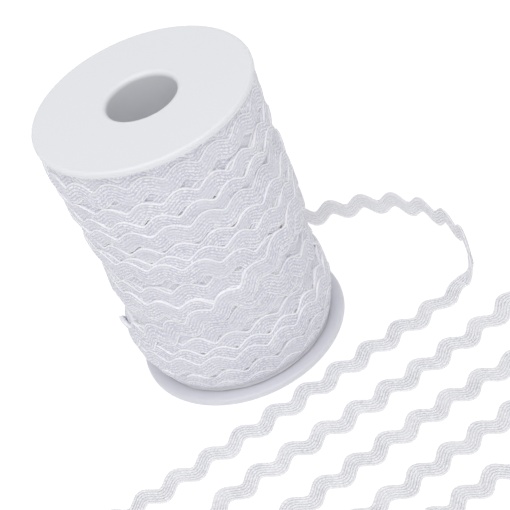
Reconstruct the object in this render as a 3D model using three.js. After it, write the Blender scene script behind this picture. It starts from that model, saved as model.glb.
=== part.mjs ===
// Roll of ric rac: a flanged plastic spool wound full of a narrow wavy braid, with the braid's
// loose end led off the back of the roll, round on its edge, and laid back and forth in five rows.
// Millimetres, +Z up. The origin is on the spool's axis, on the underside of the bottom flange.

import * as THREE from 'three';

// Spool: two thin round flanges and the tube between them, moulded in one piece
const flangeRadius = 26;
const spoolHeight = 74;
const flangeThickness = 1.8;
const rimRound = 0.7;
const boreRadius = 8.3;
const boreRound = 1.2;
const tubeRadius = 10;
const innerFillet = 0.8;
const spoolSegments = 60;

// The braid, a flat strip that waves from side to side: its width is over the waves
const braidWidth = 7.6;
const braidThickness = 0.9;
const waveHeight = 1.4;
const wavesPerTurn = 18;

// Wound form: the turns lie slightly aslant and overlap, so the surface rises and falls with them,
// and the lowest ones are drawn in above the bottom flange
const gap = 0.3;
const woundRadius = 24.1;
const ridgeHeight = 0.4;
const waist = 0.35;
const footHeight = 5.6;
const footDepth = 4;
const turnPitch = 6.25;
const columnsPerWave = 5;
const woundRows = 34;

// Loose end: the height of its middle where it stands on edge and where it lies flat, fallen over
const clearance = 0.1;
const over = 180;
const standing = restingHeight(90);
const lying = restingHeight(over);
const turnRadius = 15;
const turnPoints = 6;
const stepsPerSpanStanding = 2;

// The stretch from the roll to the first row; lean is 90 on edge, and 180 fallen over outward
const ledOff = [
  //  x      y      z        lean
  [ 1.0,  25.5,  6.9,       90],
  [12.0,  26.3,  6.3,       90],
  [23.0,  23.9,  4.9,       89],
  [33.7,  17.9,  standing,  87],
  [44.1,  11.6,  standing,  86],
  [51.6,   3.4,  standing,  89],
  [55.3,  -7.0,  standing,  90],
  [55.3, -18.0,  standing,  89],
  [52.4, -26.1,  standing,  91],
  [50.3, -29.2,  standing, 101],
  [47.2, -30.6,  lying,    171],
  [43.0, -30.8,  lying,    169],
  [38.0, -31.3,  lying,    176],
];

// The rows lie along X, and a round turn joins each to the next
const laidFlat = [
  ...row([31, -31.3], [-39, -32.6], [-56, -32.1]),
  ...turn(-74, -42, 95, 285),
  ...row([-50, -50.6], [-27, -45.7], [12, -45.6], [47, -44.2], [60, -40.9]),
  ...turn(74, -52, 90, -105),
  ...row([52, -62.0], [37, -58.8], [-18, -59.4]),
  ...turn(-45.5, -76, 90, 305),
  ...row([-17, -73.2], [0, -71.7], [28, -71.1]),
  ...turn(52, -88, 90, -130),
  ...row([30, -86.5], [19, -83.2], [5.6, -83.2]),
];

const paint = {
  plastic: new THREE.MeshStandardMaterial({ color: 0xf0f1f4, roughness: 0.45, metalness: 0 }),
  wound: new THREE.MeshStandardMaterial({ color: 0xe9eaf0, roughness: 0.8, metalness: 0 }),
  braid: new THREE.MeshStandardMaterial({ color: 0xeeeff3, roughness: 0.8, metalness: 0 }),
};

// Height of the braid's middle when its lower edge is just on the table, leaning by an angle
function restingHeight(lean) {
  const angle = THREE.MathUtils.degToRad(lean);
  const halfHeight = (braidWidth * Math.sin(angle) + braidThickness * Math.abs(Math.cos(angle))) / 2;
  return clearance + halfHeight;
}

// Flat route points, from their x and y
function row(...points) {
  return points.map(([x, y]) => [x, y, lying, over]);
}

// Flat route points round a turn, between two angles in degrees
function turn(centreX, centreY, firstAngle, lastAngle) {
  const points = [];
  for (let i = 0; i < turnPoints; i++) {
    const angle = THREE.MathUtils.degToRad(
      THREE.MathUtils.lerp(firstAngle, lastAngle, i / (turnPoints - 1)));
    const x = centreX + turnRadius * Math.cos(angle);
    const y = centreY + turnRadius * Math.sin(angle);
    points.push([x, y, lying, over]);
  }
  return points;
}

// A quarter-round corner of a lathe profile, as points from one angle to the other
function corner(centreR, centreZ, radius, firstAngle, lastAngle, steps = 3) {
  const points = [];
  for (let i = 0; i <= steps; i++) {
    const angle = THREE.MathUtils.degToRad(
      THREE.MathUtils.lerp(firstAngle, lastAngle, i / steps));
    const r = centreR + radius * Math.cos(angle);
    const z = centreZ + radius * Math.sin(angle);
    points.push(new THREE.Vector2(r, z));
  }
  return points;
}

// Half of the spool's profile, from the bore's middle down and out to the tube's middle
function lowerHalf() {
  const rimR = flangeRadius - rimRound;
  return [
    ...corner(boreRadius + boreRound, boreRound, boreRound, 180, 270),
    ...corner(rimR, rimRound, rimRound, 270, 360),
    ...corner(rimR, flangeThickness - rimRound, rimRound, 0, 90),
    ...corner(tubeRadius + innerFillet, flangeThickness + innerFillet, innerFillet, 270, 180),
  ];
}

// The spool: its profile turned round the axis, the upper half a mirror of the lower
function makeSpool() {
  const lower = lowerHalf();
  const upper = lower.map(({ x, y }) => new THREE.Vector2(x, spoolHeight - y)).reverse();
  const profile = [...lower, ...upper, lower[0].clone()];
  const geometry = new THREE.LatheGeometry(profile, spoolSegments);
  geometry.rotateX(Math.PI / 2);
  return namedMesh('spool', geometry, paint.plastic);
}

// A closed surface from a grid of points that joins up along its columns, and along its rows
// too where ring is true; otherwise its first and last columns get flat ends
function gridGeometry(columns, ring) {
  const rows = columns[0].length;
  const positions = columns.flat().flatMap((point) => point.toArray());
  const at = (column, row) => (column % columns.length) * rows + (row % rows);
  const indices = [];
  const spans = ring ? columns.length : columns.length - 1;
  for (let c = 0; c < spans; c++) {
    for (let r = 0; r < rows; r++) {
      indices.push(at(c, r), at(c + 1, r), at(c + 1, r + 1));
      indices.push(at(c, r), at(c + 1, r + 1), at(c, r + 1));
    }
  }
  if (!ring) {
    for (let r = 1; r < rows - 1; r++) {
      indices.push(at(0, 0), at(0, r), at(0, r + 1));
      indices.push(at(spans, 0), at(spans, r + 1), at(spans, r));
    }
  }
  const geometry = new THREE.BufferGeometry();
  geometry.setAttribute('position', new THREE.Float32BufferAttribute(positions, 3));
  geometry.setIndex(indices);
  geometry.computeVertexNormals();
  return geometry;
}

// Radius of the wound surface: a shallow waist, a ridge along each turn of the wavy braid, and a
// quarter of an ellipse at the foot
function woundSurface(angle, z, lowZ, highZ) {
  const wave = waveHeight * Math.sin(wavesPerTurn * angle);
  const turns = (z - wave) / turnPitch - angle / (2 * Math.PI);
  const along = (z - lowZ) / (highZ - lowZ);
  const aboveFoot = Math.min((z - lowZ) / footHeight, 1);
  const drawnIn = footDepth * (1 - Math.sqrt(aboveFoot * (2 - aboveFoot)));
  const fullness = woundRadius - waist * Math.sin(Math.PI * along) - drawnIn;
  return fullness + ridgeHeight * Math.cos(2 * Math.PI * turns);
}

// The wound ric rac: a thick ring of braid that fills the spool between its flanges
function makeWound() {
  const lowZ = flangeThickness + gap;
  const highZ = spoolHeight - flangeThickness - gap;
  const innerRadius = tubeRadius + innerFillet + gap;
  const columnCount = wavesPerTurn * columnsPerWave;
  const columns = [];
  for (let c = 0; c < columnCount; c++) {
    const angle = 2 * Math.PI * c / columnCount;
    const place = (r, z) => new THREE.Vector3(r * Math.cos(angle), r * Math.sin(angle), z);
    const column = [place(innerRadius, highZ), place(innerRadius, lowZ)];
    for (let i = 0; i <= woundRows; i++) {
      const z = THREE.MathUtils.lerp(lowZ, highZ, i / woundRows);
      column.push(place(woundSurface(angle, z, lowZ, highZ), z));
    }
    columns.push(column);
  }
  return namedMesh('wound_ric_rac', gridGeometry(columns, true), paint.wound);
}

// The flat section of the loose end: across its width, then through its thickness
function braidSection() {
  const edge = braidWidth / 2;
  const face = braidThickness / 2;
  const side = edge - face / 2;
  const half = [[edge, -face / 2], [edge, face / 2], [side, face], [-side, face]];
  return [...half, ...half.map(([across, through]) => [-across, -through])];
}

// Places along the route: two steps a span as far as the first row, one where the braid lies
function routeSteps() {
  const steps = [];
  for (let span = 0; span < ledOff.length; span += 1 / stepsPerSpanStanding) steps.push(span);
  for (let span = ledOff.length; span < ledOff.length + laidFlat.length; span++) steps.push(span);
  return steps;
}

// The loose end: the section carried along the route, turned about it by the lean
function makeLooseEnd() {
  const route = [...ledOff, ...laidFlat];
  const curve = new THREE.CatmullRomCurve3(route.map(([x, y, z]) => new THREE.Vector3(x, y, z)));
  const up = new THREE.Vector3(0, 0, 1);
  const columns = routeSteps().map((span) => {
    const t = Math.min(span / (route.length - 1), 1);
    const centre = curve.getPoint(t);
    const tangent = curve.getTangent(t);
    const before = route[Math.floor(span)];
    const after = route[Math.min(Math.floor(span) + 1, route.length - 1)];
    const lean = THREE.MathUtils.lerp(before[3], after[3], span % 1);
    centre.z = Math.max(centre.z, restingHeight(lean));
    const across = new THREE.Vector3().crossVectors(tangent, up).normalize();
    across.applyAxisAngle(tangent, THREE.MathUtils.degToRad(-lean));
    const through = new THREE.Vector3().crossVectors(across, tangent);
    return braidSection().map(([w, h]) =>
      centre.clone().addScaledVector(across, w).addScaledVector(through, h));
  });
  return namedMesh('loose_end', gridGeometry(columns, false), paint.braid);
}

function namedMesh(name, geometry, material) {
  const mesh = new THREE.Mesh(geometry, material);
  mesh.name = name;
  return mesh;
}

const group = new THREE.Group();
group.add(makeSpool());
group.add(makeWound());
group.add(makeLooseEnd());

export default group;
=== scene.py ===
import math

import bpy
import numpy as np
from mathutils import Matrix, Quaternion, Vector


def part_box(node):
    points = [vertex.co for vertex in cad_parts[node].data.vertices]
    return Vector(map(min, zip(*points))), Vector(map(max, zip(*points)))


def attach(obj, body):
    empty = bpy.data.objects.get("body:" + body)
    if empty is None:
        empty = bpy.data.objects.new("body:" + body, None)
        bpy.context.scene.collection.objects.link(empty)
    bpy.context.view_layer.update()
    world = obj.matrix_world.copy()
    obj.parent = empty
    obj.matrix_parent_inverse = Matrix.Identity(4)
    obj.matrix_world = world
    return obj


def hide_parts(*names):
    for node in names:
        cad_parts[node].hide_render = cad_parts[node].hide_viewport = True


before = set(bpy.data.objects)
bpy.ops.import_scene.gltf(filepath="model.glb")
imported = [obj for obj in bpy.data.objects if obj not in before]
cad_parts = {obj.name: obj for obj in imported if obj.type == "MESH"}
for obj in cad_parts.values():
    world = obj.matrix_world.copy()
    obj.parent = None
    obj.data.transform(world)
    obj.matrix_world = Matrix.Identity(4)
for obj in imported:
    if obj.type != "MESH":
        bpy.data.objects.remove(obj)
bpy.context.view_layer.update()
mm = 0.001
rng = np.random.default_rng(31)

cameraView = {
    "place": (-61.97, -281.72, 250.97),
    "aim": (7.11, -10.32, 26.7),
    "rollDegrees": 23.09,  # clockwise, so that the spool leans to the left in the view
    "lens": 107.9,
    "sensor": 36.0,
    "clip": (0.01, 20),  # metres
}


# The camera's -Z is turned toward the aim, and then it rolls about that line
def makeCamera(view):
    data = bpy.data.cameras.new("camera")
    data.lens = view["lens"]
    data.sensor_width = view["sensor"]
    data.clip_start, data.clip_end = view["clip"]
    camera = bpy.data.objects.new("camera", data)
    place, aim = Vector(view["place"]) * mm, Vector(view["aim"]) * mm
    forward = (aim - place).normalized()
    roll = Quaternion(forward, math.radians(view["rollDegrees"]))
    camera.rotation_mode = "QUATERNION"
    camera.location = place
    camera.rotation_quaternion = roll @ forward.to_track_quat("-Z", "Y")
    bpy.context.scene.collection.objects.link(camera)
    bpy.context.scene.camera = camera


makeCamera(cameraView)
print("camera placed")


# A mesh from arrays: x, y and z for each point; four corner numbers for each face, running outward;
# the faces that close its ends, which shade flat; and a place on the map for each quad's corners
def newMesh(name, points, quads, ends=(), uv=None):
    mesh = bpy.data.meshes.new(name)
    mesh.vertices.add(len(points))
    mesh.vertices.foreach_set("co", np.ascontiguousarray(points, np.float32).ravel())
    corners = np.concatenate([quads.ravel(), *ends]).astype(np.int32)
    sizes = np.concatenate([np.full(len(quads), 4), [len(end) for end in ends]])
    starts = (np.cumsum(sizes) - sizes).astype(np.int32)
    mesh.loops.add(len(corners))
    mesh.loops.foreach_set("vertex_index", corners)
    mesh.polygons.add(len(starts))
    mesh.polygons.foreach_set("loop_start", starts)
    mesh.polygons.foreach_set("use_smooth", np.arange(len(starts)) < len(quads))
    if uv is not None:
        layer = mesh.uv_layers.new(name="UVMap")
        flat = np.zeros((len(corners), 2), np.float32)
        flat[: quads.size] = uv.reshape(-1, 2)
        layer.data.foreach_set("uv", flat.ravel())
    mesh.update(calc_edges=True)
    mesh.validate()
    piece = bpy.data.objects.new(name, mesh)
    bpy.context.scene.collection.objects.link(piece)
    return piece


# Corner numbers of the faces between neighbouring columns and rows of a grid of points, which is
# numbered column by column. The rows close up into a ring, and the columns too where asked
def gridQuads(columns, rows, closedColumns=False):
    column = np.arange(columns if closedColumns else columns - 1)
    i, j = np.meshgrid(column, np.arange(rows), indexing="ij")
    nextI, nextJ = (i + 1) % columns, (j + 1) % rows
    around = [i * rows + j, nextI * rows + j, nextI * rows + nextJ, i * rows + nextJ]
    return np.stack(around, -1).reshape(-1, 4)


# Points from their distance to the spool's axis, their angle round it and their height: x and y are
# the distance times the angle's cosine and sine
def aroundAxis(radius, angle, height):
    radius, angle, height = np.broadcast_arrays(radius, angle, height)
    return np.stack([radius * np.cos(angle), radius * np.sin(angle), height], -1).reshape(-1, 3)


# Places on a strip's map: millimetres along it, and millimetres across it from its middle
def stripMap(along, across):
    along, across = np.broadcast_arrays(along, across)
    return np.stack([along.ravel(), across.ravel()], -1)


# Each vector over its own length
def unit(vectors):
    return vectors / np.linalg.norm(vectors, axis=-1, keepdims=True)


# Distance of each point from the first, summed from point to point
def distanceAlong(points):
    return np.concatenate([[0], np.cumsum(np.linalg.norm(np.diff(points, axis=0), axis=1))])


# Smooth curve through points: each span is a cubic, whose end slopes come from the points on either
# side weighted by the square roots of their distances; past each end the curve goes straight on
def curveThrough(points, steps):
    line = np.vstack([2 * points[0] - points[1], points, 2 * points[-1] - points[-2]])
    gap = np.sqrt(np.linalg.norm(np.diff(line, axis=0), axis=1))[:, None]
    p0, p1, p2, p3 = line[:-3], line[1:-2], line[2:-1], line[3:]
    d0, d1, d2 = gap[:-2], gap[1:-1], gap[2:]
    slope1 = ((p1 - p0) / d0 - (p2 - p0) / (d0 + d1) + (p2 - p1) / d1) * d1
    slope2 = ((p2 - p1) / d1 - (p3 - p1) / (d1 + d2) + (p3 - p2) / d2) * d1
    w = (np.arange(steps) / steps)[None, :, None]
    p1, p2, slope1, slope2 = (a[:, None, :] for a in (p1, p2, slope1, slope2))
    squared = 3 * (p2 - p1) - 2 * slope1 - slope2
    cubed = 2 * (p1 - p2) + slope1 + slope2
    spans = p1 + slope1 * w + squared * w**2 + cubed * w**3
    return np.vstack([spans.reshape(-1, points.shape[1]), points[-1:]])


braid = {
    "halfWidth": 2.46,  # of the strip itself, before it waves
    "ribs": 5,
    "ribPitch": 0.83,
    "crown": 0.42,  # from the middle of the thickness
    "valley": 0.22,
    "edgeCord": 0.13,  # radius of the cord along each edge
    "cordRise": 1.3,  # its height against its radius
    "cordAngles": (135, 90, 45, 0),  # degrees round it of its points
    "sunk": 1.5,  # how far the inner face of a wound turn is set into the turns under it
    "sunkWidth": 0.96,  # of that face, against the outer one
}


# One face of the section from edge to edge: each rib is half an ellipse over its pitch, and each
# edge has a round cord. Returns places across the strip and heights over its middle
def ribbedFace(steps):
    ribs, pitch = braid["ribs"], braid["ribPitch"]
    across = np.linspace(-ribs * pitch / 2, ribs * pitch / 2, ribs * steps + 1)
    within = 2 * (np.arange(ribs * steps + 1) / steps % 1) - 1
    arch = np.sqrt(np.clip(1 - within**2, 0, 1))
    height = braid["valley"] + (braid["crown"] - braid["valley"]) * arch
    angle = np.radians(braid["cordAngles"])
    cordMiddle = braid["halfWidth"] - braid["edgeCord"]
    cordAcross = cordMiddle + braid["edgeCord"] * np.cos(angle)
    cordHeight = braid["edgeCord"] * np.sin(angle) * braid["cordRise"]
    across = np.concatenate([-cordAcross[::-1], across, cordAcross])
    height = np.concatenate([cordHeight[::-1], height, cordHeight])
    return across, height


# Whole section, once round against the clock as seen with across to the right and up upward. The
# faces are alike where both show; else the inner one is flat, at the bottom
def braidSection(steps, bothFaces):
    across, height = ribbedFace(steps)
    if bothFaces:
        across = np.concatenate([across[:-1], across[:0:-1]])
        height = np.concatenate([-height[:-1], height[:0:-1]])
        return across, height
    inner = np.array([-1, 0, 1]) * braid["sunkWidth"] * braid["halfWidth"]
    across = np.concatenate([inner, across[::-1]])
    height = np.concatenate([np.full(len(inner), -braid["sunk"]), height[::-1]])
    return across, height


# The strip in its own plane: its middle is a cosine wave, and a section turns with part of the
# wave's slope, so that a point moves back along the strip as it goes across it. Along is in
# millimetres, phase in waves and rate in waves to the millimetre. Each of these and the rise is a
# column, or has a value for every point
def stripPoints(along, phase, rate, across, kind, width=1.0, rise=1.0):
    waveHeight = kind["waveHeight"] * rise
    slope = -2 * math.pi * rate * waveHeight * np.sin(2 * math.pi * phase)
    turned = kind["shear"] * np.arctan(slope)
    side = across[None, :] * width
    atAlong = along - side * np.sin(turned)
    atAcross = width * waveHeight * np.cos(2 * math.pi * phase) + side * np.cos(turned)
    return atAlong, atAcross


# Wave numbers at a few places along a strip, from the part of a wave that each shows: the whole
# waves between them are as many as come nearest to the usual period
def wholeWaves(places, parts, period):
    waves = [parts[0]]
    for before, here, part in zip(places, places[1:], parts[1:]):
        expected = waves[-1] + (here - before) / period
        waves.append(part + round(expected - part))
    return np.array(waves)


# The faces that close both ends of a strip with two ribbed faces. They run across its thickness,
# from a point of the lower face to the one over it, which is as far back from the section's start
def cutEnds(columns, rows):
    half = rows // 2
    lower = np.arange(1, half - 1)
    across = np.stack([lower, lower + 1, rows - lower - 1, rows - lower], -1)
    first = [np.array([0, 1, rows - 1]), *across, np.array([half - 1, half, half + 1])]
    return first + [face[::-1] + (columns - 1) * rows for face in first]


looseEnd = {
    "waveHeight": 1.4,
    "shear": 0.17,  # how much of the wave's slope the strip's sections turn with
    "clearance": 0.1,  # over the table
    "width": 7.6,  # over the waves
    "thickness": 0.9,
    "turnRadius": 15,
    "turnPoints": 6,
    "spanSteps": 60,  # between two points of the route
    "step": 0.44,
    "ribSteps": 3,
    "pathEvery": 4,  # sections from one point to the next of the path given for the cord
    "usualPeriod": 8.8,
    "cutOver": 12,  # the length over which the yarns are drawn to the cut
    "cutSlant": -0.4,  # how far along the cut goes for each across
    "cutBeyond": 2.8,  # its middle, past the route's end
    "fray": 0.12,  # spread of the yarns' ends about it
}
over = 180  # degrees of lean where the braid lies with its other face up


# Height of the braid's middle when its lower edge is just over the table: half the sum of its width
# times the sine of the lean and its thickness times the cosine
def restingHeight(lean):
    angle = np.radians(lean)
    upright = looseEnd["width"] * np.sin(angle)
    flat = looseEnd["thickness"] * np.abs(np.cos(angle))
    return looseEnd["clearance"] + (upright + flat) / 2


standing, lying = restingHeight(90), restingHeight(0)


# Route points of the braid lying flat, from their x and y
def row(*points):
    return [(x, y, lying, over) for x, y in points]


# Route points on an arc round a centre, between two angles in degrees, lying flat
def turn(centreX, centreY, firstAngle, lastAngle):
    radius = looseEnd["turnRadius"]
    angles = np.radians(np.linspace(firstAngle, lastAngle, looseEnd["turnPoints"]))
    return row(*((centreX + radius * math.cos(a), centreY + radius * math.sin(a)) for a in angles))


# The route, as x, y, z and lean: 90 on edge, 180 fallen over outward and lying flat
ledOff = [
    (1.0, 25.5, 6.9, 90),
    (12.0, 26.3, 6.3, 90),
    (23.0, 23.9, 4.9, 89),
    (33.7, 17.9, standing, 87),
    (44.1, 11.6, standing, 86),
    (51.6, 3.4, standing, 89),
    (55.3, -7.0, standing, 90),
    (55.3, -18.0, standing, 89),
    (52.4, -26.1, standing, 91),
    (50.3, -29.2, standing, 101),
    (47.2, -30.6, lying, 171),
    (43.0, -30.8, lying, 169),
    (38.0, -31.3, lying, 176),
]
laidFlat = [
    *row((31, -31.3), (-39, -32.6), (-56, -32.1)),
    *turn(-74, -42, 95, 285),
    *row((-50, -50.6), (-27, -45.7), (12, -45.6), (47, -44.2), (60, -40.9)),
    *turn(74, -52, 90, -105),
    *row((52, -62.0), (37, -58.8), (-18, -59.4)),
    *turn(-45.5, -76, 90, 305),
    *row((-17, -73.2), (0, -71.7), (28, -71.1)),
    *turn(52, -88, 90, -130),
    *row((30, -86.5), (19, -83.2), (5.6, -83.2)),
]
route = np.array(ledOff + laidFlat, float)

# Where the waves fall: the route points between which a stretch is measured; its heading along X,
# or 0 on edge; the x of a crest, or on edge its distance from the start; the period; and the width
# against the usual
stretches = [
    {"points": (3, 4), "heading": 0, "crest": 39.0, "period": 8.38, "width": 1.0},
    {"points": (7,), "heading": 0, "crest": 39.9, "period": 8.38, "width": 1.0},
    {"points": (11, 13, 14), "heading": -1, "crest": 0.2, "period": 9.10, "width": 1.0},
    {"points": (15,), "heading": -1, "crest": 1.5, "period": 9.10, "width": 1.0},
    {"points": (23, 25), "heading": 1, "crest": -3.03, "period": 8.90, "width": 1.0},
    {"points": (26,), "heading": 1, "crest": -1.4, "period": 8.90, "width": 1.0},
    {"points": (34, 35), "heading": -1, "crest": -2.54, "period": 8.62, "width": 0.97},
    {"points": (43, 44), "heading": 1, "crest": -2.04, "period": 8.28, "width": 0.95},
    {"points": (52, 53), "heading": -1, "crest": 9.9, "period": 8.0, "width": 0.94},
]


# Distances along the route, wave numbers and widths at the stretches' points: the part of a wave
# that a point shows is its distance from the crest over the period
def routeWaves(pointArcs):
    places, parts, widths = [], [], []
    for stretch in stretches:
        heading, crest = stretch["heading"], stretch["crest"]
        half = 0.5 if heading < 0 else 0.0  # there the braid's first side is toward -Y
        for point in stretch["points"]:
            place = pointArcs[point]
            fromCrest = heading * (route[point, 0] - crest) if heading else place - crest
            places.append(place)
            parts.append(fromCrest / stretch["period"] + half)
            widths.append(stretch["width"])
    return np.array(places), wholeWaves(places, parts, looseEnd["usualPeriod"]), np.array(widths)


# Straight interpolation between known places, which goes on beyond them at the end slopes
def extend(at, places, values):
    before = values[0] + (at - places[0]) * (values[1] - values[0]) / (places[1] - places[0])
    after = values[-1] + (at - places[-1]) * (values[-1] - values[-2]) / (places[-1] - places[-2])
    between = np.interp(at, places, values)
    return np.where(at < places[0], before, np.where(at > places[-1], after, between))


# The loose end: the strip's own plane is carried along the route, whose side direction is level
# where the braid lies flat and turned about the route by the lean where it stands
def makeLooseEnd():
    steps = looseEnd["spanSteps"]
    line = curveThrough(route[:, :3], steps)
    arcs = distanceAlong(line)
    pointArcs = arcs[::steps]
    linePlaces = np.linspace(0, len(route) - 1, len(line))
    lean = np.interp(linePlaces, np.arange(len(route)), route[:, 3])
    line[:, 2] = np.maximum(line[:, 2], restingHeight(lean))
    tangent = unit(np.gradient(line, axis=0))
    side = unit(np.cross(tangent, [0, 0, 1]))
    angle = np.radians(-lean)[:, None]
    side = side * np.cos(angle) + np.cross(tangent, side) * np.sin(angle)
    face = np.cross(side, tangent)

    length = arcs[-1]
    along = np.linspace(0, length, round(length / looseEnd["step"]) + 1)
    places, waves, widths = routeWaves(pointArcs)
    across, height = braidSection(looseEnd["ribSteps"], True)
    # toward the end each yarn is drawn out or in to finish on the cut, a little unevenly, and
    # equally on both faces
    fray = rng.normal(0, looseEnd["fray"], len(across) // 2 + 1)
    fray = np.concatenate([fray[:-1], fray[:0:-1]])
    cut = looseEnd["cutBeyond"] + looseEnd["cutSlant"] * across + fray
    drawn = np.clip(1 - (length - along[:, None]) / looseEnd["cutOver"], 0, 1)
    slanted = along[:, None] + cut * drawn
    phase = extend(slanted, places, waves)
    rates = np.diff(extend(along, places, waves)) / np.diff(along)
    rate = np.interp(along, along[:-1] + looseEnd["step"] / 2, rates)
    width = np.interp(along, places, widths)[:, None]
    atAlong, atAcross = stripPoints(slanted, phase, rate[:, None], across, looseEnd, width)
    inside = np.clip(atAlong, 0, length)

    def at(values):
        return np.stack([np.interp(inside, arcs, values[:, k]) for k in range(3)], -1)

    points = at(line) + at(tangent) * (atAlong - inside)[..., None]
    points = points + at(side) * atAcross[..., None] + at(face) * height[None, :, None]
    columns, rows = atAlong.shape
    quads = gridQuads(columns, rows)
    uv = stripMap(slanted, across[None, :])[quads]
    ends = cutEnds(columns, rows)
    piece = newMesh("loose_braid", points.reshape(-1, 3) * mm, quads, ends, uv)
    pathAlong = along[:: looseEnd["pathEvery"]]
    path = np.stack([np.interp(pathAlong, arcs, line[:, k]) for k in range(3)], -1)
    return piece, path, length, phase[0, 0]


looseBraid, loosePath, looseLength, exitPhase = makeLooseEnd()
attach(looseBraid, "root")
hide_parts("loose_end")
print(f"loose end made, {looseLength:.1f} mm long")

# The winding is the braid's whole path round the roll. Turns and degrees back are counted from
# where the loose end starts
winding = {
    "radius": 24.2,  # at which distances round the roll are measured
    "leavesAt": 87.7,  # azimuth in degrees where the loose end starts
    "front": 255.7,  # azimuth of the middle of the front
    "reach": 44.6,  # degrees from there to the front's right and left
    "period": 8.25,
    "step": 0.44,
    "spanSteps": 24,  # between two knots of the path
    "acrossPoints": 13,  # places across the braid at which its radius is worked out
    "evened": 200,  # passes that even the waves out between the known crests
    "waveHeight": 1.05,  # less than where it lies loose, as it is wound under a pull
    "shear": 0.3,
    "pressed": 0.6,  # thickness against that of the loose braid
    "thickness": 0.32,  # that a turn adds to the roll
    "coreRadius": 23.3,
    "lowest": 2.1,
    "highest": 72.0,
    "squeezedBelow": 3.2,
    "flatTurn": 3.53,  # turns back, where its waves are pressed flat at the front
    "flatReach": 0.33,  # turns to either side
    "flatShare": 0.2,  # of their height that is left there
    "leavingSlope": 0.11,  # the fall of the last turn's radius, for each millimetre back
    "leavingCurve": 0.004,  # and for each square of one
    "underTurns": 7,  # in each of the two layers below
    "underLow": 6.0,
    "underHigh": 68.5,
    "underUneven": 0.9,  # up or down at most, at each knot of theirs
    "leadIn": 80,  # degrees of the layer below that are made with the outer one
    "underShort": 60,  # degrees by which the layers below begin late
    "splits": (11, 3),  # turns back at which one piece ends and the next begins
}

# The roll's rounded foot, where the turns are drawn in over the bottom flange
foot = {
    "radius": 24.1,
    "height": 5.6,
    "depth": 4.0,
    "most": 2.4,  # where the drawing in is cut off upright
    "flare": 0.8,  # how far the lowest edge turns outward again
    "flareHeight": 0.1,
    "turns": (3.5, 5.4),  # turns back, between which they make it
    "release": 6,  # how much deeper a turn may lie for each turn outside of those
    "setIn": 0.3,  # of each turn from the one wound over it
    "setInTurns": 6,  # over which that adds up
}

# The outer layer's turns in the order they were wound: the height of their middle at the right,
# middle and left of the front and then at the back, and the degrees to the right of the front's
# middle at which one of the waves has its crest
outerTurns = [
    (68.5, 68.6, 68.4, 67.9, 3.0),
    (67.1, 66.7, 66.3, 63.6, 24.5),
    (60.0, 60.6, 59.4, 58.4, -0.6),
    (56.2, 56.1, 55.6, 54.0, -14.5),
    (51.7, 52.6, 52.6, 50.2, -12.3),
    (47.2, 46.9, 47.6, 44.9, 8.4),
    (42.4, 43.8, 44.4, 40.0, -0.6),
    (34.4, 35.2, 35.0, 32.8, -17.8),
    (29.9, 30.6, 30.8, 28.0, -16.7),
    (24.9, 24.1, 19.0, 19.6, 5.6),
    (18.1, 18.0, 18.6, 16.5, -6.7),
    (14.6, 14.8, 15.2, 13.4, 3.3),
    (12.6, 12.3, 12.4, 10.0, 0.0),
    (7.0, 7.0, 6.7, 4.0, -16.7),
    (3.2, 2.9, 3.1, 2.6, -1.1),
    (1.3, 0.9, 1.1, 10.0, 4.4),
    (26.0, 29.9, 31.4, 34.5, 21.2),  # climbs back over the layer
    (35.6, 40.9, 43.2, 43.6, -5.6),
    (36.5, 30.5, 22.8, None, 0.0),  # the last turn, down round the left
]
# The last turn's way down to the loose end: degrees before its start, and height
wayDown = [(100, 18.6), (78, 15.0), (50, 12.4), (25, 9.0), (8, 7.3), (0, 6.9)]


# Knots of the path from the first turn to the last, as degrees back and height; and the crests, in
# degrees back. The two layers below go evenly down and then up, but for a random unevenness
def windingKnots():
    knots, crests = [], []
    middle = winding["front"] - winding["leavesAt"]
    reach = winding["reach"]
    turns, under = len(outerTurns), winding["underTurns"]
    low, high = winding["underLow"], winding["underHigh"]
    quarters = ((0.0, reach), (0.25, -reach), (0.5, -180 + reach), (0.75, -180 - reach))
    for number in range(-2 * under, 0):
        start = 360 * (turns - 1 - number) + middle
        begun = (number + 2 * under) / under
        for share, offset in quarters:
            travel = begun + share / under
            height = high - (high - low) * (1 - abs(1 - travel))
            uneven = rng.uniform(-winding["underUneven"], winding["underUneven"])
            knots.append((start + offset, height + uneven))
    for number, (right, centre, left, back, crest) in enumerate(outerTurns):
        start = 360 * (turns - 1 - number) + middle
        knots += [(start + reach, right), (start, centre), (start - reach, left)]
        if back is not None:
            knots.append((start - 180, back))
        crests.append(start + crest)
    return np.array(knots + wayDown), np.array(crests)


# Copies of a grid shifted along one axis, by up to a reach either way, with its edge values repeated
# beyond its ends
def shiftedCopies(values, axis, reach):
    padding = [(reach, reach) if a == axis else (0, 0) for a in (0, 1)]
    padded = np.pad(values, padding, mode="edge")
    count = values.shape[axis]
    return [np.take(padded, np.arange(k, k + count), axis) for k in range(2 * reach + 1)]


# The highest value within reach, both ways along a grid
def spread(values, reachAlong, reachAcross):
    for axis, reach in ((0, reachAlong), (1, reachAcross)):
        values = np.max(shiftedCopies(values, axis, reach), 0)
    return values


# Half of each value and a quarter of each of its two neighbours, several times over both ways
def soften(values, passesAlong, passesAcross):
    for axis, passes in ((0, passesAlong), (1, passesAcross)):
        for _ in range(passes):
            before, here, after = shiftedCopies(values, axis, 1)
            values = 0.25 * before + 0.5 * here + 0.25 * after
    return values


# How far the roll is drawn in at its foot: by a quarter of an ellipse, cut off upright near the
# flange, where the lowest edge turns outward again and fades upward as an exponential
def drawnIn(z, low):
    above = np.clip((z - low) / foot["height"], 0, 1)
    ellipse = foot["depth"] * (1 - np.sqrt(above * (2 - above)))
    flare = foot["flare"] * np.exp(-np.maximum(z - low, 0) / foot["flareHeight"])
    return np.minimum(ellipse, foot["most"]) - flare


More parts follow.
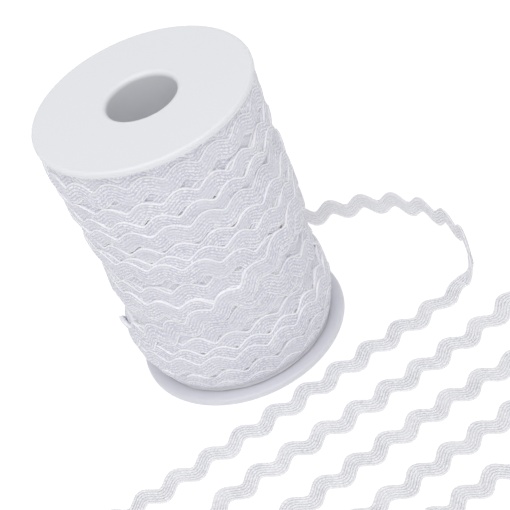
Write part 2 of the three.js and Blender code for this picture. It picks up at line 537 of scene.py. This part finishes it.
laying = {
    "cell": 0.2,  # of the map of the roll
    "stretch": 80,  # sections laid at a time
    "margin": 8,  # sections on either side of them that count as they are evened out
    "spread": (3, 1),  # sections along and points across that the braid bridges
    "soften": (9, 2),  # passes along and across
    "finer": 4,  # samples from one point to the next as a stretch is added to the map
}


# Lays the braid turn by turn on a map of the roll's radius over angle and height: each stretch rests
# on the highest of what lies under it, evened out as a limp braid under tension is, and is then
# added to the map for the turns after it
def layTurns(atAround, atHeight, low, high, least, most):
    cell, margin = laying["cell"], laying["margin"]
    around = round(2 * math.pi * winding["radius"] / cell)
    levels = round((high - low) / cell) + 1
    angle = math.radians(winding["leavesAt"]) - cell * np.arange(around)[:, None] / winding["radius"]
    surface = coreSurface(angle, low + cell * np.arange(levels), low)

    def cells(places, heights):
        column = np.round(places / cell).astype(int) % around
        level = np.clip(np.round((heights - low) / cell).astype(int), 0, levels - 1)
        return column, level

    count = len(atAround)
    radius = np.zeros(atAround.shape)
    waiting = None
    for start in range(0, count, laying["stretch"]):
        end = min(start + laying["stretch"], count)
        first, last = max(start - margin, 0), min(end + margin, count)
        under = surface[cells(atAround[first:last], atHeight[first:last])]
        rest = soften(spread(under, *laying["spread"]), *laying["soften"])
        rest = np.clip(rest, least[first:last], most[first:last])
        radius[start:end] = rest[start - first : end - first]
        if waiting:
            tops = radius[waiting] + winding["thickness"]
            addTo(surface, cells, atAround[waiting], atHeight[waiting], tops)
        waiting = slice(start, end)
    return radius


# Raises the map to a stretch's outer face, which is sampled on straight lines between its points,
# finely enough to leave no cell out
def addTo(surface, cells, places, heights, tops):
    weights = np.arange(laying["finer"]) / laying["finer"]

    def finer(grid):
        for axis in (0, 1):
            grid = np.moveaxis(grid, axis, 0)
            parts = [grid[:-1] * (1 - w) + grid[1:] * w for w in weights]
            grid = np.moveaxis(np.stack(parts, 1).reshape(-1, *grid.shape[1:]), 0, axis)
        return grid

    places, heights, tops = finer(places), finer(heights), finer(tops)
    np.maximum.at(surface, cells(places, heights), tops)


# The waves of the lowest turns are pressed together over the flange: below a given height, the rest
# of the way down is taken up as an exponential, and never reaches the flange
def squeezed(height, low):
    room = winding["squeezedBelow"] - low
    below = np.maximum(winding["squeezedBelow"] - height, 0)
    return np.maximum(height, winding["squeezedBelow"]) - room * (1 - np.exp(-below / room))


# The winding: the strip's plane is rolled out flat, as distance round the roll and height, and its
# middle follows a smooth curve through the knots, with its waves counted from crest to crest. Then
# its radius is worked out at points all over it
def makeWinding(low, high):
    knots, crests = windingKnots()
    perDegree = math.radians(winding["radius"])
    knots = np.stack([-knots[:, 0] * perDegree, knots[:, 1]], -1)
    plane = curveThrough(knots, winding["spanSteps"])
    arcs = distanceAlong(plane)
    length = arcs[-1]
    along = np.linspace(0, length, round(length / winding["step"]) + 1)
    line = np.stack([np.interp(along, arcs, plane[:, k]) for k in (0, 1)], -1)
    tangent = unit(np.gradient(line, axis=0))
    side = np.stack([-tangent[:, 1], tangent[:, 0]], -1)

    crestPlaces = np.interp(-crests * perDegree, line[:, 0], along)
    places = np.concatenate([[0], crestPlaces, [length]])
    parts = [0.0] * (len(places) - 1) + [exitPhase % 1]
    phase = np.interp(along, places, wholeWaves(places, parts, winding["period"]))
    phase = soften(phase[:, None], winding["evened"], 0)[:, 0]
    rate = np.gradient(phase, along)

    turnsBack = (length - along) / (2 * math.pi * winding["radius"])
    flat = np.exp(-(((turnsBack - winding["flatTurn"]) / winding["flatReach"]) ** 4))
    rise = 1 - (1 - winding["flatShare"]) * flat

    across = np.linspace(-1, 1, winding["acrossPoints"]) * braid["halfWidth"]
    columns = (values[:, None] for values in (along, phase, rate))
    atAlong, atAcross = stripPoints(*columns, across, winding, rise=rise[:, None])

    def at(values, places):
        return np.interp(np.clip(places, 0, length), along, values)

    def planePoint(atAlong, atAcross):
        around = at(line[:, 0], atAlong) + at(side[:, 0], atAlong) * atAcross
        height = at(line[:, 1], atAlong) + at(side[:, 1], atAlong) * atAcross
        return around, squeezed(np.minimum(height, high), low)

    around, height = planePoint(atAlong, atAcross)
    least, most = radiusLimits((length - along)[:, None], across, height, low)
    radius = layTurns(around, height, low, high, least, most)
    return along, phase, rate, rise, across, radius, planePoint, line[:, 0]


# The core bulges at the sides: a height, and how far out it is there on the right and on the left
bulges = np.array([
    (6, 0.1, 1.2), (9, 1.1, 1.2), (12, 0.5, 1.2), (15, -1.0, 0.4), (18, -1.7, -0.5),
    (21, -0.8, -1.8), (24, -0.6, -1.5), (27, -0.8, 0.2), (30, -2.4, -0.9), (33, -1.4, -0.3),
    (36, 0.5, -0.9), (39, 0.3, -0.1), (42, 0.8, -0.9), (45, 0.6, -1.2), (48, 1.0, -0.5),
    (51, -0.7, 0.4), (54, -2.0, -0.6), (57, -0.8, 0.5), (60, 0.1, 0.9), (63, 0.9, 0.8),
    (66, 0.9, 1.3), (69, 1.4, 0.9),
])
# At the left of the last turn one edge stands off like a fin
fin = {
    "before": 34,  # its middle, from where the loose end starts
    "reach": 6,
    "reaches": 3,  # from its middle back to where the last turn's radius is no longer held
    "radius": 22.9,
    "out": 2.9,
    "lean": 0.8,  # how much further out the one edge stands
}


# Radius of the surface that the turns are wound on, by angle in radians and height: the bulges fade
# with the square of the sine of the angle from the front and the back
def coreSurface(angle, z, low):
    sine = np.sin(angle - math.radians(winding["front"]))
    right, left = (np.interp(z, bulges[:, 0], bulges[:, k]) for k in (1, 2))
    bulge = right * np.maximum(sine, 0) ** 2 + left * np.maximum(-sine, 0) ** 2
    return winding["coreRadius"] + bulge - drawnIn(z, low)


# The least and greatest radius the braid may lie at. Near its end it leaves the roll for the loose
# end, along a parabola; the fin is a bell curve along it, aslant across it; and the lowest turns
# make an even rounded foot, each over the one before it
def radiusLimits(before, across, z, low):
    start = math.hypot(*route[0, :2]) - braid["crown"]
    leaving = start - winding["leavingSlope"] * before - winding["leavingCurve"] * before**2
    away = np.exp(-(((before - fin["before"]) / fin["reach"]) ** 2))
    finRadius = fin["radius"] + away * (fin["out"] + fin["lean"] * across / braid["halfWidth"])
    heldUntil = fin["reaches"] * fin["reach"] + fin["before"]
    held = np.maximum(leaving, finRadius * (before < heldUntil))

    turnsBack = before / (2 * math.pi * winding["radius"])
    first, last = foot["turns"]
    outside = np.maximum(np.maximum(first - turnsBack, turnsBack - last), 0)
    footRadius = foot["radius"] - drawnIn(z, low)
    setIn = foot["setIn"] * np.clip(turnsBack - first, 0, last - first)
    least = np.maximum(held, footRadius - foot["release"] * outside - setIn)
    above = np.maximum(z - low - foot["height"], 0)
    setIn = foot["setIn"] * np.clip(turnsBack - first, -first, foot["setInTurns"])
    most = footRadius + above - setIn
    return least, np.maximum(most, least)


# One piece of the winding, between two angles back: the ribbed section is set on the worked out
# radius, which is interpolated straight across it, and rolled round the axis
def makeTurns(name, made, degrees, every, ribSteps):
    along, phase, rate, rise, across, radius, planePoint, around = made
    first, last = np.searchsorted(around, -np.array(degrees) * math.radians(winding["radius"]))
    last = min(last, len(along) - 1)
    chosen = np.unique(np.append(np.arange(first, last + 1, every), last))
    sectionAcross, sectionHeight = braidSection(ribSteps, False)
    columns = (values[chosen][:, None] for values in (along, phase, rate))
    atAlong, atAcross = stripPoints(*columns, sectionAcross, winding, rise=rise[chosen][:, None])
    place, height = planePoint(atAlong, atAcross)
    share = (np.clip(sectionAcross, across[0], across[-1]) - across[0]) / (across[1] - across[0])
    whole = np.minimum(share.astype(int), len(across) - 2)
    share = share - whole
    rest = radius[chosen][:, whole] * (1 - share) + radius[chosen][:, whole + 1] * share
    rest = rest + winding["pressed"] * (braid["crown"] + sectionHeight)
    angle = math.radians(winding["leavesAt"]) - place / winding["radius"]
    columns, rows = atAlong.shape
    quads = gridQuads(columns, rows)
    uv = stripMap(along[chosen][:, None], sectionAcross[None, :])[quads]
    ends = (np.arange(rows), np.arange(rows)[::-1] + (columns - 1) * rows)
    piece = newMesh(name, aroundAxis(rest, angle, height) * mm, quads, ends, uv)
    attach(piece, "root")
    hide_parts("wound_ric_rac")
    return piece


wound = makeWinding(winding["lowest"], winding["highest"])
outerBegins = 360 * (len(outerTurns) - 1) + winding["front"] - winding["leavesAt"]
outerBegins += winding["leadIn"]
underBegins = outerBegins + 720 * winding["underTurns"] - winding["underShort"]
upperEnds, lowerEnds = (360 * turns for turns in winding["splits"])
pieces = [
    makeTurns("under_turns", wound, (underBegins, outerBegins), every=2, ribSteps=2),
    makeTurns("upper_turns", wound, (outerBegins, upperEnds), every=1, ribSteps=4),
    makeTurns("lower_turns", wound, (upperEnds, lowerEnds), every=1, ribSteps=4),
    makeTurns("last_turns", wound, (lowerEnds, 0), every=1, ribSteps=4),
]
print("turns wound")

spool = {
    "flangeThickness": 1.8,
    "rimRound": 0.7,
    "boreRadius": 8.3,
    "boreRound": 1.2,
    "tubeRadius": 10.0,
    "innerFillet": 0.8,
    "cornerSteps": 7,
    "besideCorner": 0.2,  # from either end of a flat to a point on it, so that it shades flat
    "segments": 240,
}


# Points round an arc, with one more just before it and one just after it, along its tangents
def corner(centre, radius, firstAngle, lastAngle):
    angle = np.radians(np.linspace(firstAngle, lastAngle, spool["cornerSteps"]))
    arc = np.array(centre) + radius * np.stack([np.cos(angle), np.sin(angle)], -1)
    turning = math.copysign(spool["besideCorner"], lastAngle - firstAngle)
    tangent = turning * np.stack([-np.sin(angle), np.cos(angle)], -1)
    return np.vstack([arc[0] - tangent[0], arc, arc[-1] + tangent[-1]])


# The spool: one profile of round corners and straight flats turned round the axis, the upper half a
# mirror of the lower
def makeSpool():
    low, high = (np.array(place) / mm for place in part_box("spool"))
    rim = (high[0] - low[0]) / 2 - spool["rimRound"]
    bore, thick, fillet = spool["boreRound"], spool["flangeThickness"], spool["innerFillet"]
    lower = np.vstack([
        corner((spool["boreRadius"] + bore, bore), bore, 180, 270),
        corner((rim, spool["rimRound"]), spool["rimRound"], 270, 360),
        corner((rim, thick - spool["rimRound"]), spool["rimRound"], 0, 90),
        corner((spool["tubeRadius"] + fillet, thick + fillet), fillet, 270, 180),
    ])
    upper = lower[::-1] * (1, -1) + (0, high[2])
    profile = np.vstack([lower, upper])
    angle = np.linspace(0, 2 * math.pi, spool["segments"], endpoint=False)[:, None]
    quads = gridQuads(len(angle), len(profile), closedColumns=True)
    points = aroundAxis(profile[:, 0], angle, profile[:, 1])
    piece = newMesh("spool_body", points * mm, quads)
    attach(piece, "root")
    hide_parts("spool")
    return piece


innerTurns = {
    "low": 1.85,
    "pitch": 5.2,
    "ridge": 0.15,  # half its height
    "waves": 18,
    "columns": 20,  # to a wave
    "rows": 120,
    "swell": [(6, 0), (9, 0.12), (67.5, 0.12), (69.5, 0.8)],  # a height, and how far out of the core
    "overTube": 0.3,
    "mapAcross": 1.9,  # how far to either side its own map goes
}


# Inner turns: a ring round the spool's tube, its outside a shallow cosine over height that waves
# round the roll as the braid does; only a little of it shows between the turns over it
def makeInnerTurns(low, high):
    waves = innerTurns["waves"]
    angle = np.linspace(0, 2 * math.pi, waves * innerTurns["columns"], endpoint=False)[:, None]
    height = np.linspace(low, high, innerTurns["rows"])[None, :]
    turns = (height - winding["waveHeight"] * np.cos(waves * angle)) / innerTurns["pitch"]
    core = np.maximum(coreSurface(angle, height, low), winding["coreRadius"] - drawnIn(height, low))
    outer = core + innerTurns["ridge"] * np.cos(2 * math.pi * turns)
    outer += np.interp(height, *np.transpose(innerTurns["swell"]))
    inner = np.full((len(angle), 2), spool["tubeRadius"] + innerTurns["overTube"])
    radius = np.hstack([outer, inner])
    level = np.hstack([height, [[high, low]]])
    columns, rows = radius.shape
    quads = gridQuads(columns, rows, closedColumns=True)
    turns = np.hstack([turns, turns[:, :1], turns[:, :1]])
    across = innerTurns["mapAcross"] * np.sin(math.pi * turns)
    uv = stripMap(angle * winding["radius"], across)[quads]
    piece = newMesh("inner_turns", aroundAxis(radius, angle, level) * mm, quads, uv=uv)
    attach(piece, "root")
    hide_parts("wound_ric_rac")
    return piece


spoolBody = makeSpool()
pieces.append(makeInnerTurns(innerTurns["low"], winding["highest"]))
print("spool turned")


# A material's nodes, in which a number or another node's output may be given for any input. A sum
# is one step of arithmetic
class Nodes:
    def __init__(self, name):
        self.material = bpy.data.materials.new(name)
        self.material.use_nodes = True
        self.tree = self.material.node_tree
        self.shader = self.tree.nodes["Principled BSDF"]

    def put(self, socket, value):
        if isinstance(value, bpy.types.NodeSocket):
            self.tree.links.new(value, socket)
        else:
            socket.default_value = value

    def add(self, kind, inputs=(), **settings):
        node = self.tree.nodes.new(kind)
        for key, value in settings.items():
            setattr(node, key, value)
        for key, value in dict(inputs).items():
            self.put(node.inputs[key], value)
        return node

    def sum(self, operation, *values):
        node = self.add("ShaderNodeMath", dict(enumerate(values)), operation=operation)
        return node.outputs[0]

    def between0And1(self, value):
        return self.sum("MINIMUM", self.sum("MAXIMUM", value, 0.0), 1.0)

    def mix(self, share, first, second):
        inputs = {"Factor": share, 6: first, 7: second}
        return self.add("ShaderNodeMix", inputs, data_type="RGBA").outputs[2]

    def noise(self, where, scale, detail):
        inputs = {"Vector": where, "Scale": scale, "Detail": detail}
        return self.add("ShaderNodeTexNoise", inputs).outputs["Fac"]

    def bump(self, height, strength, distance, normal=None):
        inputs = {"Height": height, "Strength": strength, "Distance": distance}
        if normal:
            inputs["Normal"] = normal
        return self.add("ShaderNodeBump", inputs).outputs["Normal"]

    def set(self, sockets):
        for key, value in sockets.items():
            self.put(self.shader.inputs[key], value)


# Two looks of the one yarn: wound tight, where the stitches stand out, and lying loose and open. The
# wound look's bluer shade is also painted shade, for the deeper shade on the roll
woundYarn = {
    "light": (1.0, 1.0, 1.0, 1),
    # painted shade: bluer than the loose look's, for the shade on the roll
    "shade": (0.625, 0.63, 0.74, 1),
    "edge": (0.97, 0.97, 1.0, 1),
    "edgeWidth": 0.3,
    "fullness": 1.1,  # how broad the bright crown of a rib is
    "stitch": 0.8,  # length of one stitch along a rib
    "stitchDepth": 0.7,
    "specks": 1.35,
    "plain": 0.7,  # how far the stitches fade where the weave is pressed plain
    "plainShare": 0.33,
    "flatAndPaintedLightUntil": -1,
    "edgeColourAndPaintedLightBelow": 0.0025,  # metres; below it the yarn takes the bright edge colour: the lowest turns' edges are bunched over the flange there, and it is also painted light over the shaded corner at the foot
}
looseYarn = {
    "light": (0.96, 0.96, 0.98, 1),
    "shade": (0.51, 0.515, 0.565, 1),
    "edge": (0.88, 0.88, 0.91, 1),
    "edgeWidth": 0.385,
    "fullness": 3.0,
    "stitch": 0.72,
    "stitchDepth": 0.35,
    "specks": 0.8,
    "plain": 0.4,
    "plainShare": 0.75,
    "flatAndPaintedLightUntil": 72,  # from the roll, still pressed flat by the winding; the lighter plain tone there is also painted light on the upright stretch, which gets less light
    "edgeColourAndPaintedLightBelow": -1,
}
# What both looks share. A scale is a noise's, over metres; a bump's two numbers are its strength and
# its distance in metres
yarn = {
    "slant": 0.9,  # stitches that a rib's width slants by
    "unevenness": 3.0,  # stitches that they wander by
    "unevenScale": 420,
    "cordTwist": 0.9,  # length of one twist of an edge cord
    "cordSlant": 0.5,  # and how far across it would go
    "cordHeight": 0.3,  # against a stitch's
    "speckScale": 1700,
    "cloudScale": 160,
    "clouds": 0.3,
    "plainScale": 150,
    "plainEdge": 6.0,  # how sharply a pressed patch begins
    "flatFade": 12,
    "flatPlain": 0.85,
    "fibreScale": 5200,
    "fibreBump": (0.25, 0.00004),
    "stitchBump": (0.6, 0.00009),
    "roughness": 0.62,
    "specular": 0.3,
    "sheen": 0.15,
    "sheenRoughness": 0.5,
}


# The plaited yarn follows the piece's own map, which is millimetres along and across the strip. Each
# rib's slanting stitches are a sine along it, and lean the other way on the next rib; its colour
# goes from the shade up to the light by its crown, one less a power of the distance from the rib's
# middle, so that the valleys between ribs and the gaps between stitches carry painted shade; and
# each edge has a twisted cord
def yarnMaterial(name, look):
    n = Nodes(name)
    place = n.add("ShaderNodeSeparateXYZ", {0: n.add("ShaderNodeUVMap", uv_map="UVMap").outputs[0]})
    along, across = place.outputs[0], place.outputs[1]
    objectPlace = n.add("ShaderNodeTexCoord").outputs["Object"]
    objectHeight = n.add("ShaderNodeSeparateXYZ", {0: objectPlace}).outputs[2]

    ribPlace = n.sum("DIVIDE", across, braid["ribPitch"])
    rib = n.sum("ROUND", ribPlace)
    within = n.sum("SUBTRACT", ribPlace, rib)
    odd = n.sum("FLOORED_MODULO", rib, 2.0)
    leaning = n.sum("MULTIPLY", n.sum("SUBTRACT", 1.0, n.sum("MULTIPLY", odd, 2.0)), within)
    turns = n.sum("DIVIDE", along, look["stitch"])
    turns = n.sum("ADD", turns, n.sum("MULTIPLY", leaning, yarn["slant"]))
    turns = n.sum("ADD", turns, n.sum("MULTIPLY", odd, 0.5))
    wander = n.noise(objectPlace, yarn["unevenScale"], 1)
    turns = n.sum("ADD", turns, n.sum("MULTIPLY", wander, yarn["unevenness"]))
    wave = n.sum("SINE", n.sum("MULTIPLY", turns, 2 * math.pi))
    stitches = n.sum("MULTIPLY_ADD", wave, 0.5, 0.5)
    fromMiddle = n.sum("ABSOLUTE", n.sum("MULTIPLY", within, 2.0))
    crown = n.sum("SUBTRACT", 1.0, n.sum("POWER", fromMiddle, look["fullness"]))

    edgeBegins = braid["halfWidth"] - look["edgeWidth"]
    isEdge = n.sum("GREATER_THAN", n.sum("ABSOLUTE", across), edgeBegins)
    # below a set height the edge colour is also painted light, lifting the shade in the corner at
    # the roll's foot
    isEdge = n.sum("MAXIMUM", isEdge, n.sum("LESS_THAN", objectHeight, look["edgeColourAndPaintedLightBelow"]))
    twist = n.sum("DIVIDE", along, yarn["cordTwist"])
    twist = n.sum("ADD", twist, n.sum("DIVIDE", across, yarn["cordSlant"]))
    twist = n.sum("SINE", n.sum("MULTIPLY", twist, 2 * math.pi))
    cord = n.sum("MULTIPLY", isEdge, n.sum("MULTIPLY", twist, yarn["cordHeight"]))
    height = n.sum("ADD", n.sum("MULTIPLY", stitches, crown), cord)

    depth = look["stitchDepth"]
    # painted shade: the rib valleys and the gaps between stitches are coloured darker, toward the
    # shade
    share = n.sum("MULTIPLY", crown, n.sum("MULTIPLY_ADD", stitches, depth, 1 - depth))
    specks = n.sum("SUBTRACT", n.noise(objectPlace, yarn["speckScale"], 1), 0.5)
    share = n.sum("ADD", share, n.sum("MULTIPLY", specks, look["specks"]))
    clouds = n.sum("SUBTRACT", n.noise(objectPlace, yarn["cloudScale"], 2), 0.5)
    share = n.sum("ADD", share, n.sum("MULTIPLY", clouds, yarn["clouds"]))
    patches = n.noise(objectPlace, yarn["plainScale"], 1)
    patches = n.sum("MULTIPLY_ADD", patches, yarn["plainEdge"], -yarn["plainEdge"] / 2)
    patches = n.sum("MULTIPLY", n.between0And1(patches), look["plain"])
    # near the roll the loose yarn is pressed plain, toward a lighter tone that is also painted light
    # on the upright stretch
    flat = n.sum("DIVIDE", n.sum("SUBTRACT", look["flatAndPaintedLightUntil"], along), yarn["flatFade"])
    flat = n.sum("MULTIPLY", n.between0And1(flat), yarn["flatPlain"])
    plain = n.sum("MAXIMUM", patches, flat)
    fromPlain = n.sum("SUBTRACT", share, look["plainShare"])
    share = n.sum("SUBTRACT", share, n.sum("MULTIPLY", plain, fromPlain))
    colour = n.mix(share, look["shade"], look["light"])
    colour = n.mix(isEdge, colour, look["edge"])

    fibres = n.noise(objectPlace, yarn["fibreScale"], 3)
    normal = n.bump(fibres, *yarn["fibreBump"])
    normal = n.bump(height, *yarn["stitchBump"], normal)
    n.set({
        "Base Color": colour,
        "Normal": normal,
        "Roughness": yarn["roughness"],
        "Specular IOR Level": yarn["specular"],
        "Sheen Weight": yarn["sheen"],
        "Sheen Roughness": yarn["sheenRoughness"],
    })
    return n.material


plastic = {
    "colour": (0.82, 0.83, 0.86, 1),
    "shade": (0.8, 0.81, 0.84, 1),
    "flowScale": 45,
    "lower": (0.74, 0.74, 0.795, 1),  # painted shade: a darker, bluer white low on the spool, for the shade on the bottom flange
    "paintedShadeBelow": 0.02,  # metres
    "skinScale": 2600,
    "skinBump": (0.06, 0.00005),
    "dipScale": 130,
    "dipBump": (0.08, 0.0006),
    "roughness": 0.36,
    "roughnessVaries": 0.12,
    "specular": 0.45,
}


# Moulded plastic: an even white with faint cloudy flow, a fine uneven skin and slow dips, each of
# them a noise over the piece; below a set height the white is a painted shade, darker and bluer
def plasticMaterial():
    n = Nodes("moulded_plastic")
    place = n.add("ShaderNodeTexCoord").outputs["Object"]
    flow = n.noise(place, plastic["flowScale"], 3)
    skin = n.noise(place, plastic["skinScale"], 2)
    dips = n.noise(place, plastic["dipScale"], 1)
    colour = n.mix(flow, plastic["shade"], plastic["colour"])
    height = n.add("ShaderNodeSeparateXYZ", {0: place}).outputs[2]
    # painted shade: below the set height the plastic is coloured darker and bluer
    colour = n.mix(n.sum("GREATER_THAN", height, plastic["paintedShadeBelow"]), plastic["lower"], colour)
    varies = n.sum("MULTIPLY", skin, plastic["roughnessVaries"])
    normal = n.bump(dips, *plastic["dipBump"])
    normal = n.bump(skin, *plastic["skinBump"], normal)
    n.set({
        "Base Color": colour,
        "Normal": normal,
        "Roughness": n.sum("ADD", plastic["roughness"], varies),
        "Specular IOR Level": plastic["specular"],
    })
    return n.material


woundLook = yarnMaterial("wound_yarn", woundYarn)
looseLook = yarnMaterial("loose_yarn", looseYarn)
plasticLook = plasticMaterial()
for piece in pieces:
    piece.data.materials.append(woundLook)
looseBraid.data.materials.append(looseLook)
spoolBody.data.materials.append(plasticLook)
for node, look in (("spool", plasticLook), ("wound_ric_rac", woundLook), ("loose_end", looseLook)):
    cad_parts[node].data.materials.clear()
    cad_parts[node].data.materials.append(look)
print("materials made")

# Floor and light, in metres
studio = {
    "floorRadius": 3.0,
    "floorSides": 64,
    "floorColour": (0.2, 0.2, 0.2, 1),
    "floorRoughness": 0.9,
    "floorGlow": 0.87,  # the paper is lit from below, as on a light table
    "glowColour": (1, 1, 1, 1),
    "shaded": 0.02,  # radius of the part hidden under the spool, where it isn't lit
    "sky": 0.47,
    "skyColour": (1, 1, 1, 1),
    "aim": (0, 0, 0.03),
    "key": {"place": (-0.12, -0.26, 1.0), "size": 1.1, "power": 6.5},
    "fill": {"place": (-0.5, -1.0, 0.3), "size": 0.8, "power": 0.45},
}


# The floor: a flat round sheet, whose glow is left out inside a circle round its middle
def makeFloor():
    angle = np.linspace(0, 2 * math.pi, studio["floorSides"], endpoint=False)
    points = aroundAxis(studio["floorRadius"], angle, 0)
    mesh = bpy.data.meshes.new("floor")
    mesh.from_pydata(points.tolist(), [], [list(range(len(points)))])
    floor = bpy.data.objects.new("floor", mesh)
    bpy.context.scene.collection.objects.link(floor)
    n = Nodes("floor_paper")
    place = n.add("ShaderNodeTexCoord").outputs["Object"]
    distance = n.add("ShaderNodeVectorMath", {0: place}, operation="LENGTH").outputs["Value"]
    outside = n.sum("GREATER_THAN", distance, studio["shaded"])
    n.set({
        "Base Color": studio["floorColour"],
        "Roughness": studio["floorRoughness"],
        "Emission Color": studio["glowColour"],
        "Emission Strength": n.sum("MULTIPLY", outside, studio["floorGlow"]),
    })
    mesh.materials.append(n.material)


# A round soft light, whose -Z is turned toward the aim
def makeLight(name, light):
    data = bpy.data.lights.new(name, "AREA")
    data.shape = "DISK"
    data.size = light["size"]
    data.energy = light["power"]
    lamp = bpy.data.objects.new(name, data)
    lamp.location = light["place"]
    lamp.rotation_mode = "QUATERNION"
    toAim = Vector(studio["aim"]) - Vector(light["place"])
    lamp.rotation_quaternion = toAim.to_track_quat("-Z", "Y")
    bpy.context.scene.collection.objects.link(lamp)


# An even white sky all round
def makeSky():
    world = bpy.data.worlds.new("studio")
    world.use_nodes = True
    sky = world.node_tree.nodes["Background"]
    sky.inputs["Color"].default_value = studio["skyColour"]
    sky.inputs["Strength"].default_value = studio["sky"]
    bpy.context.scene.world = world


makeFloor()
makeSky()
makeLight("key_light", studio["key"])
makeLight("fill_light", studio["fill"])
bpy.context.scene.view_settings.view_transform = "Standard"
print("floor and lights placed")
